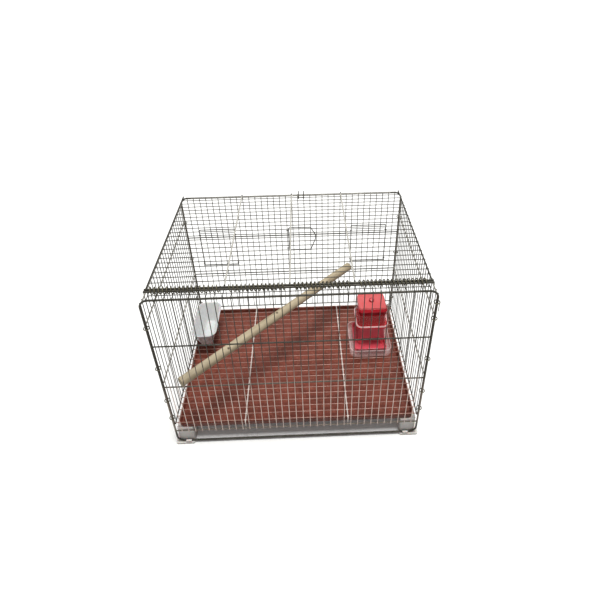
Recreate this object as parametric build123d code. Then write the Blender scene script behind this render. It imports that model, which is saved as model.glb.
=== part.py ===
from build123d import *
import math
import os

# Wire bird cage with a slide-out tray, built standing on its four feet.
# Millimetres, +Z up. The cage's front, with its doors and the tray's slot, faces +Y and its rear -Y.
# The origin is under the middle of the cage, on the surface that the feet stand on.

# Wires
PITCH = 12.7                    # spacing of the bars, half an inch
COLUMNS = 36                    # spacings across the front and rear panels
ROWS = 24                       # spacings from rear to front
FRAME_WIRE = 3.5                # frames of the front and rear panels, edges of the roof joint
BAR_WIRE = 1.4
SUPPORT_WIRE = 2.4              # cross wires that carry the bars
EDGE_WIRE = 2.5                 # upright edges of the side panels
DOOR_WIRE = 2.0
WELD = 0.4                      # how far welded wires sink into each other
STUB = 1.5                      # what a bar runs past its last cross wire

# Clearances
REST_GAP = 0.1                  # between pieces that only stand on each other
GAP = 0.35                      # round everything that moves, and between round wires

# Overall size
WIDTH = COLUMNS * PITCH
DEPTH = ROWS * PITCH
HEIGHT = 359.4                  # between the lowest and highest frame wire
CORNER_RADIUS = 14.0
FOOT_SOLE = 4.0

# Heights above the lowest frame wire
LOW_WIRE_RISE = 32.0            # just under the tray
SLOT_WIRE_RISE = 56.0           # over the tray's slot in the front panel
LOWER_SUPPORT_RISE = 158.0
UPPER_SUPPORT_RISE = 259.5
SIDE_MIDDLE_RISE = 165.0
SIDE_UPPER_RISE = 309.0
SIDE_TOP_RISE = 350.0
TRAY_RISE = 34.0
NET_RISE = 49.5

# Roof and its joint
JOINT_SPREAD = 5.0              # between the two joined edge wires
JOINT_SETBACK = 22.4            # roof's edge wire behind the rear frame
STRIP_WIRE_SETBACK = 9.4        # thin wire along the rear panel's bent-over strip
SPIRAL_WIRE = 1.8
SPIRALS_PER_PITCH = 2
SPIRAL_END_GAP = 4.0
ROOF_SPINE_WIRE = 2.6
ROOF_SPINE_COLUMNS = 8
ROOF_SIDE_INSET = 6.6
ROOF_FRONT_INSET = 4.5
ROOF_FRONT_WIRE = 2.4
ROOF_SPINE_OVERRUN = 0.6
ROOF_LATERAL_OVERRUN = 1.3

# Roof latch
LATCH_LEFT_X = 14.5
LATCH_WIDTH = 10.6
LATCH_WIRE = 2.0
LATCH_RISE = 5.4                # loop's top above the roof's wires
LATCH_RAMP = 7.3
LATCH_REACH = 5.6               # loop's drop outside the front frame
LATCH_DROP = 16.5
LATCH_BEND = 2.4

# Doors
SLIDE_DOOR_COLUMNS = (10, 16)   # bars that a sliding door rides on, counted from the middle
SLIDE_SILL_RISE = 184.0
SLIDE_DOOR_BOTTOM = 181.0
SLIDE_DOOR_RAIL = 268.0
SLIDE_DOOR_TOP = 277.0
SLIDE_EYE_RISE = 188.0
SLIDE_GUIDE_RISE = 263.0
DOOR_CORNER = 3.0
EYE_WIRE = 1.2
EYE_GAP = 0.5                   # between an eye or guide ring and the wire in it
CENTRE_DOOR_COLUMNS = (-1, 3)
CENTRE_SILL_RISE = 219.0
CENTRE_DOOR_BOTTOM = 217.0
CENTRE_DOOR_TOP = 276.0
CENTRE_DOOR_LEFT_OFFSET = 2.8   # from the bar that the door turns on
CENTRE_DOOR_BOW = 10.4
CENTRE_BOW_RISES = (245.0, 256.0)
CENTRE_BOW_BEND = 6.0
CENTRE_EYE_RISES = (223.0, 270.0)

# Side panels
SIDE_EDGE_INSET = 3.5

# Corner rings and the loose hook
RING_WIRE = 1.6
RING_RISES = (70.0, 120.0, 205.0, 300.0)
HOOK_WIRE = 1.8
HOOK_SHANK_WIRE = 1.2
HOOK_DROP = 24.4                # from the highest frame wire down to the hook's eye
HOOK_LENGTH = 20.0

# Floor net and tray
NET_SPACES = 22
NET_SPAN = 295.9
NET_SPINE_X = 96.5
NET_EDGE_X = 221.0
NET_REACH_X = 226.8
NET_SPINE_WIRE = 2.3
NET_HOOK_BEND = 2.0
TRAY_WIDTH = 442.0
TRAY_REAR_INSET = 3.8           # tray's wall from the rear frame's wire line
TRAY_FRONT_INSET = 0.4
TRAY_HEIGHT = 12.0
TRAY_WALL = 1.8
TRAY_LIP = 1.5
TRAY_LIP_HEIGHT = 1.6
TRAY_CORNER = 9.0

# Feet
FOOT_LENGTH = 30.0
FOOT_WALL = 2.5
FOOT_CORNER = 4.0
SOLE_REACH = 4.4                # sole's edge outside the frame's wire line
CLIP_LENGTH = 10.0
CLIP_CORNER_GAP = 2.0
CLIP_HEIGHT = 9.4
CLIP_LIP = 1.3
CLIP_LIP_HEIGHT = 1.5

# Perch
PERCH_DIAMETER = 17.5
PERCH_REACH = 151.5             # axis end from the middle plane
PERCH_REAR_X = -197.0
PERCH_FRONT_X = 123.5
PERCH_REAR_COLUMN = -15
PERCH_FRONT_COLUMN = 9
PERCH_SLOT_DEPTH = 9.0

# Feeder, measured from the cage's middle
FEEDER_X = 159.0
FEEDER_FRONT_Y = -11.0
DISH_WIDTH = 88.0
DISH_LENGTH = 88.0
DISH_HEIGHT = 18.0
DISH_WALL = 1.8
DISH_CORNER = 13.0
LINER_X = 159.0
LINER_WIDTH = 68.0
LINER_LENGTH = 81.2
LINER_HEIGHT = 16.4
LINER_WALL = 1.6
LINER_CORNER = 8.0
LINER_SETBACK = 4.4
HOPPER_X = 163.0
HOPPER_FRONT_Y = 20.0
HOPPER_WIDTH = 56.0
HOPPER_LENGTH = 52.0
HOPPER_TOP_RISE = 148.0
HOPPER_WALL = 2.0
HOPPER_CORNER = 6.0
HOPPER_MOUTH_HEIGHT = 20.0
HOPPER_MOUTH_SIDE = 8.0
SLEEVE_WALL = 2.2
SLEEVE_SPACE = 4.0              # between the seed box and the clear sleeve
SLEEVE_RISE = 110.0
SLEEVE_CORNER = 12.0
LEDGE_HEIGHT = 2.6
LID_THICKNESS = 3.0
LID_OVERHANG = 1.5
LID_SKIRT = 5.0
LID_STEP_HEIGHT = 3.5
LID_STEP_LENGTH = 36.0
LID_KNOB_DIAMETER = 11.0
LID_KNOB_HEIGHT = 4.0
LID_CORNER = 6.0

# White tub
TUB_X = -198.2
TUB_Y = 73.5
TUB_RIM_WIDTH = 50.5
TUB_RIM_LENGTH = 103.0
TUB_TAPER = 13.0
TUB_HEIGHT = 45.0
TUB_WALL = 2.0
TUB_CORNER = 15.0
TUB_BASE_CORNER = 10.0
TUB_LIP = 2.0
TUB_LIP_HEIGHT = 2.0

OVERRUN = 2.0                   # what a cut runs past the face it starts from

# Places worked out from the sizes above
BASE_Z = FOOT_SOLE + REST_GAP + FRAME_WIRE / 2
HALF_WIDTH = WIDTH / 2
HALF_DEPTH = DEPTH / 2
BAR_OFFSET = FRAME_WIRE / 2 + BAR_WIRE / 2 - WELD
SUPPORT_OFFSET = BAR_OFFSET - BAR_WIRE / 2 - SUPPORT_WIRE / 2 + WELD
BAR_Y = HALF_DEPTH + BAR_OFFSET
SUPPORT_Y = HALF_DEPTH + SUPPORT_OFFSET
TOP_Z = BASE_Z + HEIGHT
ROOF_Z = TOP_Z + BAR_OFFSET
ROOF_AXIS_Y = -HALF_DEPTH + JOINT_SETBACK
STRIP_EDGE_Y = ROOF_AXIS_Y - JOINT_SPREAD
SPINE_Z = TOP_Z + FRAME_WIRE / 2 + GAP + ROOF_SPINE_WIRE / 2
LATERAL_Z = SPINE_Z - ROOF_SPINE_WIRE / 2 - BAR_WIRE / 2 + WELD
DOOR_Y = BAR_Y + BAR_WIRE / 2 + GAP + DOOR_WIRE / 2
NET_Z = BASE_Z + NET_RISE
NET_TOP_Z = NET_Z + BAR_WIRE / 2
EYE_RADIUS = BAR_WIRE / 2 + EYE_GAP + EYE_WIRE / 2
GUIDE_RADIUS = DOOR_WIRE / 2 + EYE_GAP + EYE_WIRE / 2


def rod(start, end, diameter):
    """A straight round wire between two points."""
    run = Vector(*end) - Vector(*start)
    seat = Plane(origin=start, z_dir=run)
    return seat * Cylinder(diameter / 2, run.length, align=(Align.CENTER, Align.CENTER, Align.MIN))


def bent_wire(points, bend, diameter):
    """A round wire through points, with one bend radius at each inner point."""
    path = FilletPolyline(*points, radius=bend)
    section = Plane(origin=path @ 0, z_dir=path % 0) * Circle(diameter / 2)
    return sweep(section, path=path)


def closed_wire(outline, diameter):
    """A round wire along a closed flat outline."""
    path = outline.wire()
    section = Plane(origin=path @ 0, z_dir=path % 0) * Circle(diameter / 2)
    return sweep(section, path=path)


def ring(centre, axis, radius, wire):
    """A closed ring of round wire."""
    return Plane(origin=centre, z_dir=axis) * Torus(radius, wire / 2)


def welded(pieces):
    """One solid out of wires that cross."""
    return pieces[0].fuse(*pieces[1:])


def rounded_block(width, length, height, corner):
    """An upright block with rounded corners, standing on Z = 0 about the Z axis."""
    return extrude(RectangleRounded(width, length, corner), amount=height)


def upright(x, y, low, high, diameter):
    """A vertical wire between two heights above the lowest frame wire."""
    return rod((x, y, BASE_Z + low), (x, y, BASE_Z + high), diameter)


def lateral(y, rise, reach, diameter):
    """A wire across the whole width, reaching as far to the left as to the right."""
    return rod((-reach, y, BASE_Z + rise), (reach, y, BASE_Z + rise), diameter)


def panel_frame(y):
    """The thick outer wire of the front or rear panel."""
    facing = Plane(origin=(0, y, BASE_Z + HEIGHT / 2), x_dir=(1, 0, 0), z_dir=(0, -1, 0))
    return closed_wire(facing * RectangleRounded(WIDTH, HEIGHT, CORNER_RADIUS), FRAME_WIRE)


def bar_columns():
    """Numbers of the inner bars, counted from the middle."""
    return range(1 - COLUMNS // 2, COLUMNS // 2)


def rear_panel():
    """The rear panel, whose bars bend over the top and end in the roof joint's fixed edge wire."""
    bar = bent_wire(
        [
            (0, -BAR_Y, BASE_Z + LOW_WIRE_RISE - STUB),
            (0, -BAR_Y, ROOF_Z),
            (0, STRIP_EDGE_Y, ROOF_Z),
        ],
        BAR_OFFSET,
        BAR_WIRE,
    )
    pieces = [panel_frame(-HALF_DEPTH)]
    for rise in (LOW_WIRE_RISE, LOWER_SUPPORT_RISE, UPPER_SUPPORT_RISE):
        pieces.append(lateral(-SUPPORT_Y, rise, HALF_WIDTH, SUPPORT_WIRE))
    reach = HALF_WIDTH - ROOF_SIDE_INSET / 2
    pieces.append(rod((-reach, STRIP_EDGE_Y, ROOF_Z), (reach, STRIP_EDGE_Y, ROOF_Z), FRAME_WIRE))
    strip_y = -HALF_DEPTH + STRIP_WIRE_SETBACK
    strip_z = ROOF_Z - BAR_WIRE + WELD
    strip_reach = HALF_WIDTH - PITCH + STUB
    pieces.append(rod((-strip_reach, strip_y, strip_z), (strip_reach, strip_y, strip_z), BAR_WIRE))
    for column in bar_columns():
        pieces.append(Pos(column * PITCH, 0, 0) * bar)
    return welded(pieces)


def door_of(column):
    """The heights between which a front bar is left out for a door, or None."""
    low, high = SLIDE_DOOR_COLUMNS
    if low < abs(column) < high:
        return SLIDE_SILL_RISE, UPPER_SUPPORT_RISE
    low, high = CENTRE_DOOR_COLUMNS
    if low < column < high:
        return CENTRE_SILL_RISE, UPPER_SUPPORT_RISE
    return None


def front_panel():
    """The front panel with its three door openings, their sills and the sliding doors' guides."""
    pieces = [panel_frame(HALF_DEPTH)]
    for rise in (LOW_WIRE_RISE, SLOT_WIRE_RISE, LOWER_SUPPORT_RISE, UPPER_SUPPORT_RISE):
        pieces.append(lateral(SUPPORT_Y, rise, HALF_WIDTH, SUPPORT_WIRE))
    bottom = SLOT_WIRE_RISE - STUB
    top = HEIGHT + BAR_WIRE / 2
    for column in bar_columns():
        opening = door_of(column)
        x = column * PITCH
        if opening:
            pieces.append(upright(x, BAR_Y, bottom, opening[0] + STUB, BAR_WIRE))
            pieces.append(upright(x, BAR_Y, opening[1] - STUB, top, BAR_WIRE))
        else:
            pieces.append(upright(x, BAR_Y, bottom, top, BAR_WIRE))
    sills = [
        (CENTRE_DOOR_COLUMNS[0], CENTRE_DOOR_COLUMNS[1], CENTRE_SILL_RISE),
        (SLIDE_DOOR_COLUMNS[0], SLIDE_DOOR_COLUMNS[1], SLIDE_SILL_RISE),
        (-SLIDE_DOOR_COLUMNS[1], -SLIDE_DOOR_COLUMNS[0], SLIDE_SILL_RISE),
    ]
    for first, last, rise in sills:
        z = BASE_Z + rise
        left = first * PITCH - STUB
        right = last * PITCH + STUB
        pieces.append(rod((left, SUPPORT_Y, z), (right, SUPPORT_Y, z), SUPPORT_WIRE))
    for column in SLIDE_DOOR_COLUMNS:
        for side in (-1, 1):
            place = (side * column * PITCH, DOOR_Y, BASE_Z + SLIDE_GUIDE_RISE)
            pieces.append(ring(place, (0, 0, 1), GUIDE_RADIUS, EYE_WIRE))
    return welded(pieces)


def side_panel(side):
    """A side panel, -1 for the left one and 1 for the right one."""
    bar_x = side * HALF_WIDTH
    cross_x = side * (HALF_WIDTH - BAR_WIRE / 2 - SUPPORT_WIRE / 2 + WELD)
    bottom = NET_RISE - BAR_WIRE / 2 - SUPPORT_WIRE / 2 - REST_GAP
    edge_y = HALF_DEPTH - SIDE_EDGE_INSET
    pieces = []
    for rise in (bottom, SIDE_MIDDLE_RISE, SIDE_UPPER_RISE, SIDE_TOP_RISE):
        z = BASE_Z + rise
        pieces.append(rod((cross_x, -edge_y, z), (cross_x, edge_y, z), SUPPORT_WIRE))
    for row in range(1 - ROWS // 2, ROWS // 2):
        pieces.append(upright(bar_x, row * PITCH, bottom - STUB, SIDE_TOP_RISE + STUB, BAR_WIRE))
    for y in (-edge_y, edge_y):
        pieces.append(upright(bar_x, y, bottom - STUB, SIDE_TOP_RISE + STUB, EDGE_WIRE))
    return welded(pieces)


def roof_rows():
    """Y places of the roof's thin cross wires, from the front one back to the joint."""
    places = []
    y = HALF_DEPTH - PITCH
    while y > ROOF_AXIS_Y + JOINT_SPREAD:
        places.append(y)
        y -= PITCH
    return places


def roof_spines():
    """X places of the roof's thick wires that run from rear to front."""
    inner = ROOF_SPINE_COLUMNS * PITCH
    outer = HALF_WIDTH - ROOF_SIDE_INSET
    return [-outer, -inner, 0, inner, outer]


def roof_panel():
    """The roof, which turns about its rear edge wire and lies on the front frame."""
    reach = HALF_WIDTH - ROOF_SIDE_INSET / 2
    across = HALF_WIDTH - ROOF_SIDE_INSET + ROOF_LATERAL_OVERRUN
    pieces = [rod((-reach, ROOF_AXIS_Y, ROOF_Z), (reach, ROOF_AXIS_Y, ROOF_Z), FRAME_WIRE)]
    for x in roof_spines():
        start = (x, ROOF_AXIS_Y + ROOF_SPINE_OVERRUN, SPINE_Z)
        end = (x, HALF_DEPTH + ROOF_SPINE_OVERRUN, SPINE_Z)
        pieces.append(rod(start, end, ROOF_SPINE_WIRE))
    for y in roof_rows():
        pieces.append(rod((-across, y, LATERAL_Z), (across, y, LATERAL_Z), BAR_WIRE))
    front_y = HALF_DEPTH - ROOF_FRONT_INSET
    pieces.append(rod((-across, front_y, LATERAL_Z), (across, front_y, LATERAL_Z), ROOF_FRONT_WIRE))
    return welded(pieces)


def biarc(start, start_way, end, end_way):
    """Two arcs from one point and direction to another."""
    chord = end - start
    ways = start_way + end_way
    square = 2 * start_way.dot(end_way) - 2
    linear = chord.dot(ways)
    reach = (linear - math.sqrt(linear * linear - square * chord.dot(chord))) / square
    first = start + start_way * reach
    last = end - end_way * reach
    middle = (first + last) * 0.5
    middle_way = (last - first).normalized()
    return [
        Edge.make_tangent_arc(start, start_way, middle),
        Edge.make_tangent_arc(middle, middle_way, end),
    ]


def spiral_point(turn, radius, lead, start_x):
    """A point of the joining spiral and its direction, a number of turns from its start."""
    angle = 2 * math.pi * turn
    centre_y = ROOF_AXIS_Y - JOINT_SPREAD / 2
    point = Vector(
        start_x + lead * turn,
        centre_y + radius * math.cos(angle),
        ROOF_Z + radius * math.sin(angle),
    )
    way = Vector(
        lead,
        -2 * math.pi * radius * math.sin(angle),
        2 * math.pi * radius * math.cos(angle),
    )
    return point, way.normalized()


def joining_spiral(start_x, turns):
    """One stretch of the spiral round the strip's and the roof's edge wires, and its least gap."""
    radius = (JOINT_SPREAD + FRAME_WIRE) / 2 + GAP + SPIRAL_WIRE / 2
    lead = PITCH / SPIRALS_PER_PITCH
    edges = []
    halves = int(2 * turns)
    for half in range(halves):
        start, start_way = spiral_point(half / 2, radius, lead, start_x)
        end, end_way = spiral_point((half + 1) / 2, radius, lead, start_x)
        edges += biarc(start, start_way, end, end_way)
    path = Wire(edges)
    section = Plane(origin=path @ 0, z_dir=path % 0) * Circle(SPIRAL_WIRE / 2)
    tube = sweep(section, path=path)
    gap = least_turn_gap(path, turns)
    expected = math.pi * SPIRAL_WIRE * SPIRAL_WIRE / 4 * path.length
    print("spiral", round(start_x, 1), "turns", turns, "least gap", round(gap, 2),
          "volume over section x length", round(tube.volume / expected, 4))
    return tube


def least_turn_gap(path, turns):
    """The least free distance between neighbouring turns, measured on points."""
    steps = int(turns) * 24
    points = [path.position_at(step / steps) for step in range(steps + 1)]
    least = WIDTH
    for index, point in enumerate(points):
        for other in points[index + 12:index + 40]:
            least = min(least, (point - other).length)
    return least - SPIRAL_WIRE


def roof_hinge_spirals():
    """The joining spirals, one between each two thick wires of the roof."""
    lead = PITCH / SPIRALS_PER_PITCH
    spines = roof_spines()
    stretches = []
    for left, right in zip(spines[:-1], spines[1:]):
        first = math.ceil((left + SPIRAL_END_GAP) / lead)
        last = math.floor((right - SPIRAL_END_GAP) / lead)
        stretches.append(joining_spiral(first * lead, last - first))
    return stretches


def roof_latch():
    """The wire loop that turns on the roof's front cross wire and drops over the front frame."""
    pivot_y = HALF_DEPTH - PITCH
    eye = BAR_WIRE / 2 + GAP + LATCH_WIRE / 2
    low_z = LATERAL_Z + eye
    high_z = LATERAL_Z + LATCH_RISE
    ramp_y = pivot_y + LATCH_RAMP
    drop_y = HALF_DEPTH + LATCH_REACH
    left = LATCH_LEFT_X
    right = LATCH_LEFT_X + LATCH_WIDTH
    loop = bent_wire(
        [
            (left, pivot_y, low_z),
            (left, ramp_y, high_z),
            (left, drop_y, high_z),
            (left, drop_y, high_z - LATCH_DROP),
            (right, drop_y, high_z - LATCH_DROP),
            (right, drop_y, high_z),
            (right, ramp_y, high_z),
            (right, pivot_y, low_z),
        ],
        LATCH_BEND,
        LATCH_WIRE,
    )
    eyes = [ring((x, pivot_y, LATERAL_Z), (1, 0, 0), eye, LATCH_WIRE) for x in (left, right)]
    return welded([loop] + eyes)


def sliding_door(side):
    """A guillotine door, -1 for the left one and 1 for the right one."""
    low, high = SLIDE_DOOR_COLUMNS
    middle_x = side * (low + high) / 2 * PITCH
    tall = SLIDE_DOOR_TOP - SLIDE_DOOR_BOTTOM
    middle_z = BASE_Z + (SLIDE_DOOR_TOP + SLIDE_DOOR_BOTTOM) / 2
    facing = Plane(origin=(middle_x, DOOR_Y, middle_z), x_dir=(1, 0, 0), z_dir=(0, -1, 0))
    outline = facing * RectangleRounded((high - low) * PITCH, tall, DOOR_CORNER)
    pieces = [closed_wire(outline, DOOR_WIRE)]
    rail_z = BASE_Z + SLIDE_DOOR_RAIL
    ends = [side * low * PITCH, side * high * PITCH]
    pieces.append(rod((ends[0], DOOR_Y, rail_z), (ends[1], DOOR_Y, rail_z), BAR_WIRE))
    for column in range(low + 1, high):
        x = side * column * PITCH
        pieces.append(upright(x, DOOR_Y, SLIDE_DOOR_BOTTOM, SLIDE_DOOR_RAIL, BAR_WIRE))
    for x in ends:
        pieces.append(ring((x, BAR_Y, BASE_Z + SLIDE_EYE_RISE), (0, 0, 1), EYE_RADIUS, EYE_WIRE))
    return welded(pieces)


def centre_door():
    """The small door, which turns on a bar of the front panel and springs shut by its bowed side."""
    first, last = CENTRE_DOOR_COLUMNS
    hinge_x = first * PITCH
    left = hinge_x + CENTRE_DOOR_LEFT_OFFSET
    right = last * PITCH
    bow = right + CENTRE_DOOR_BOW
    low = BASE_Z + CENTRE_DOOR_BOTTOM
    high = BASE_Z + CENTRE_DOOR_TOP
    corners = [
        ((left, DOOR_Y, low), DOOR_CORNER),
        ((right, DOOR_Y, low), DOOR_CORNER),
        ((bow, DOOR_Y, BASE_Z + CENTRE_BOW_RISES[0]), CENTRE_BOW_BEND),
        ((bow, DOOR_Y, BASE_Z + CENTRE_BOW_RISES[1]), CENTRE_BOW_BEND),
        ((right, DOOR_Y, high), DOOR_CORNER),
        ((left, DOOR_Y, high), DOOR_CORNER),
    ]
    points = [point for point, bend in corners]
    bends = [bend for point, bend in corners]
    path = FilletPolyline(*points, radius=bends, close=True)
    section = Plane(origin=path @ 0, z_dir=path % 0) * Circle(DOOR_WIRE / 2)
    pieces = [sweep(section, path=path)]
    for column in range(first + 1, last):
        x = column * PITCH
        pieces.append(upright(x, DOOR_Y, CENTRE_DOOR_BOTTOM, CENTRE_DOOR_TOP, BAR_WIRE))
    for rise in CENTRE_EYE_RISES:
        z = BASE_Z + rise
        pieces.append(ring((hinge_x, BAR_Y, z), (0, 0, 1), EYE_RADIUS, EYE_WIRE))
        way = Vector(left - hinge_x, DOOR_Y - BAR_Y, 0).normalized()
        foot = (hinge_x + way.X * EYE_RADIUS, BAR_Y + way.Y * EYE_RADIUS, z)
        pieces.append(rod(foot, (left, DOOR_Y, z), EYE_WIRE))
    return welded(pieces)


def ring_seat(wire):
    """The Y and radius of a ring that holds a corner's two uprights together."""
    near = HALF_DEPTH + FRAME_WIRE / 2
    far = HALF_DEPTH - SIDE_EDGE_INSET - EDGE_WIRE / 2
    return (near + far) / 2, (near - far) / 2 + GAP + wire / 2


def corner_rings():
    """Wire rings that tie the side panels' edges to the front and rear frames."""
    seat_y, radius = ring_seat(RING_WIRE)
    rings = []
    for side in (-1, 1):
        for end in (-1, 1):
            for rise in RING_RISES:
                place = (side * HALF_WIDTH, end * seat_y, BASE_Z + rise)
                rings.append(ring(place, (0, 0, 1), radius, RING_WIRE))
    return rings


def side_hook():
    """The loose hook round the right uprights at the rear."""
    seat_y, radius = ring_seat(HOOK_WIRE)
    top = TOP_Z - HOOK_DROP
    eye = ring((HALF_WIDTH, -seat_y, top), (0, 0, 1), radius, HOOK_WIRE)
    shank_x = HALF_WIDTH + radius
    shank = rod((shank_x, -seat_y, top), (shank_x, -seat_y, top - HOOK_LENGTH), HOOK_SHANK_WIRE)
    return welded([eye, shank])


def floor_net():
    """The wire net over the tray, hooked under the rear panel's low wire."""
    spine_z = NET_Z - BAR_WIRE / 2 - NET_SPINE_WIRE / 2 + WELD
    half = NET_SPAN / 2
    step = NET_SPAN / NET_SPACES
    low_wire_z = BASE_Z + LOW_WIRE_RISE
    hook_y = -SUPPORT_Y + SUPPORT_WIRE / 2 + GAP + NET_SPINE_WIRE / 2
    hook_z = low_wire_z - SUPPORT_WIRE / 2 - GAP - NET_SPINE_WIRE / 2
    pieces = []
    for x in (-NET_SPINE_X, NET_SPINE_X):
        route = [
            (x, half + STUB / 2, spine_z),
            (x, hook_y, spine_z),
            (x, hook_y, hook_z),
            (x, -SUPPORT_Y, hook_z),
        ]
        pieces.append(bent_wire(route, NET_HOOK_BEND, NET_SPINE_WIRE))
    for x in (-NET_EDGE_X, NET_EDGE_X):
        pieces.append(rod((x, -half, spine_z), (x, half, spine_z), NET_SPINE_WIRE))
    for number in range(NET_SPACES + 1):
        y = -half + number * step
        pieces.append(rod((-NET_REACH_X, y, NET_Z), (NET_REACH_X, y, NET_Z), BAR_WIRE))
    return welded(pieces)


def tray():
    """The shallow plastic tray that slides out through the front."""
    rear = -HALF_DEPTH + TRAY_REAR_INSET
    front = HALF_DEPTH - TRAY_FRONT_INSET
    length = front - rear
    inner_width = TRAY_WIDTH - 2 * TRAY_WALL
    inner_length = length - 2 * TRAY_LIP - 2 * TRAY_WALL
    body = rounded_block(TRAY_WIDTH, length - 2 * TRAY_LIP, TRAY_HEIGHT, TRAY_CORNER)
    lip = rounded_block(TRAY_WIDTH + 2 * TRAY_LIP, length, TRAY_LIP_HEIGHT, TRAY_CORNER + TRAY_LIP)
    hollow = rounded_block(inner_width, inner_length, TRAY_HEIGHT, TRAY_CORNER - TRAY_WALL)
    solid = body + Pos(0, 0, TRAY_HEIGHT - TRAY_LIP_HEIGHT) * lip
    solid = solid - Pos(0, 0, TRAY_WALL) * hollow
    return Pos(0, (front + rear) / 2, BASE_Z + TRAY_RISE) * solid


def foot(side, end):
    """A corner foot: side is -1 left or 1 right, end is -1 rear or 1 front."""
    top = BASE_Z + TRAY_RISE - REST_GAP
    outer_x = HALF_WIDTH - FRAME_WIRE / 2 - GAP
    outer_y = HALF_DEPTH - FRAME_WIRE / 2 - GAP
    sole_x = HALF_WIDTH + SOLE_REACH
    sole_y = HALF_DEPTH + SOLE_REACH
    middle_x = outer_x - FOOT_LENGTH / 2
    middle_y = outer_y - FOOT_LENGTH / 2
    body = Pos(middle_x, middle_y, 0) * rounded_block(FOOT_LENGTH, FOOT_LENGTH, top, FOOT_CORNER)
    sole_width = sole_x - outer_x + FOOT_LENGTH
    sole_length = sole_y - outer_y + FOOT_LENGTH
    sole = rounded_block(sole_width, sole_length, FOOT_SOLE, FOOT_CORNER)
    sole = Pos(sole_x - sole_width / 2, sole_y - sole_length / 2, 0) * sole
    inner = FOOT_LENGTH - 2 * FOOT_WALL
    hollow = rounded_block(inner, inner, top - FOOT_WALL + OVERRUN, FOOT_CORNER - FOOT_WALL)
    clip_y = HALF_DEPTH + FRAME_WIRE / 2 + GAP
    clip_x = HALF_WIDTH - CORNER_RADIUS - CLIP_CORNER_GAP - CLIP_LENGTH
    low = (Align.MIN, Align.MIN, Align.MIN)
    clip = Pos(clip_x, clip_y, 0) * Box(CLIP_LENGTH, sole_y - clip_y, CLIP_HEIGHT, align=low)
    lip = Box(CLIP_LENGTH, CLIP_LIP + WELD, CLIP_LIP_HEIGHT, align=low)
    lip = Pos(clip_x, clip_y - CLIP_LIP, CLIP_HEIGHT - CLIP_LIP_HEIGHT) * lip
    solid = body + sole + clip + lip - Pos(middle_x, middle_y, -OVERRUN) * hollow
    if side < 0:
        solid = mirror(solid, about=Plane.YZ)
    if end < 0:
        solid = mirror(solid, about=Plane.XZ)
    return solid


def perch():
    """The wooden perch, slotted at both ends for the bars that hold it."""
    z = BASE_Z + LOWER_SUPPORT_RISE + SUPPORT_WIRE / 2 + REST_GAP + PERCH_DIAMETER / 2
    dowel = rod((PERCH_REAR_X, -PERCH_REACH, z), (PERCH_FRONT_X, PERCH_REACH, z), PERCH_DIAMETER)
    slot = Box(BAR_WIRE + 2 * GAP, PERCH_SLOT_DEPTH, PERCH_DIAMETER + OVERRUN)
    inner = BAR_Y - BAR_WIRE / 2 - GAP + PERCH_SLOT_DEPTH / 2
    for column, end in ((PERCH_REAR_COLUMN, -1), (PERCH_FRONT_COLUMN, 1)):
        dowel = dowel - Pos(column * PITCH, end * inner, z) * slot
    return dowel


def feeder_dish():
    """The feeder's clear lower dish, standing on the floor net."""
    body = rounded_block(DISH_WIDTH, DISH_LENGTH, DISH_HEIGHT, DISH_CORNER)
    hollow = rounded_block(
        DISH_WIDTH - 2 * DISH_WALL, DISH_LENGTH - 2 * DISH_WALL, DISH_HEIGHT, DISH_CORNER - DISH_WALL
    )
    place = Pos(FEEDER_X, FEEDER_FRONT_Y + DISH_LENGTH / 2, NET_TOP_Z + GAP)
    return place * (body - Pos(0, 0, DISH_WALL) * hollow)


def liner_floor_z():
    """The height of the liner's underside."""
    return NET_TOP_Z + GAP + DISH_WALL + REST_GAP


def feeder_liner():
    """The red tray inside the clear dish."""
    body = rounded_block(LINER_WIDTH, LINER_LENGTH, LINER_HEIGHT, LINER_CORNER)
    hollow = rounded_block(
        LINER_WIDTH - 2 * LINER_WALL,
        LINER_LENGTH - 2 * LINER_WALL,
        LINER_HEIGHT,
        LINER_CORNER - LINER_WALL,
    )
    y = FEEDER_FRONT_Y + LINER_SETBACK + LINER_LENGTH / 2
    return Pos(LINER_X, y, liner_floor_z()) * (body - Pos(0, 0, LINER_WALL) * hollow)


def hopper_middle_y():
    """The Y of the hopper's middle."""
    return HOPPER_FRONT_Y + HOPPER_LENGTH / 2


def feeder_hopper():
    """The red seed box: open below and above, with a mouth towards the dish and a ledge."""
    low = liner_floor_z() + LINER_WALL + REST_GAP
    tall = BASE_Z + HOPPER_TOP_RISE - low
    body = rounded_block(HOPPER_WIDTH, HOPPER_LENGTH, tall, HOPPER_CORNER)
    ledge_reach = 2 * (SLEEVE_WALL + SLEEVE_SPACE)
    ledge = rounded_block(
        HOPPER_WIDTH + ledge_reach, HOPPER_LENGTH + ledge_reach, LEDGE_HEIGHT, SLEEVE_CORNER
    )
    hollow = rounded_block(
        HOPPER_WIDTH - 2 * HOPPER_WALL,
        HOPPER_LENGTH - 2 * HOPPER_WALL,
        tall + 2 * OVERRUN,
        HOPPER_CORNER - HOPPER_WALL,
    )
    mouth = Box(
        HOPPER_WIDTH - 2 * HOPPER_MOUTH_SIDE,
        HOPPER_WALL + 2 * OVERRUN,
        HOPPER_MOUTH_HEIGHT + OVERRUN,
        align=(Align.CENTER, Align.CENTER, Align.MIN),
    )
    ledge_z = BASE_Z + SLEEVE_RISE - REST_GAP - LEDGE_HEIGHT - low
    solid = body + Pos(0, 0, ledge_z) * ledge
    solid = solid - Pos(0, 0, -OVERRUN) * hollow
    solid = solid - Pos(0, HOPPER_WALL / 2 - HOPPER_LENGTH / 2, -OVERRUN) * mouth
    return Pos(HOPPER_X, hopper_middle_y(), low) * solid


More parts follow.
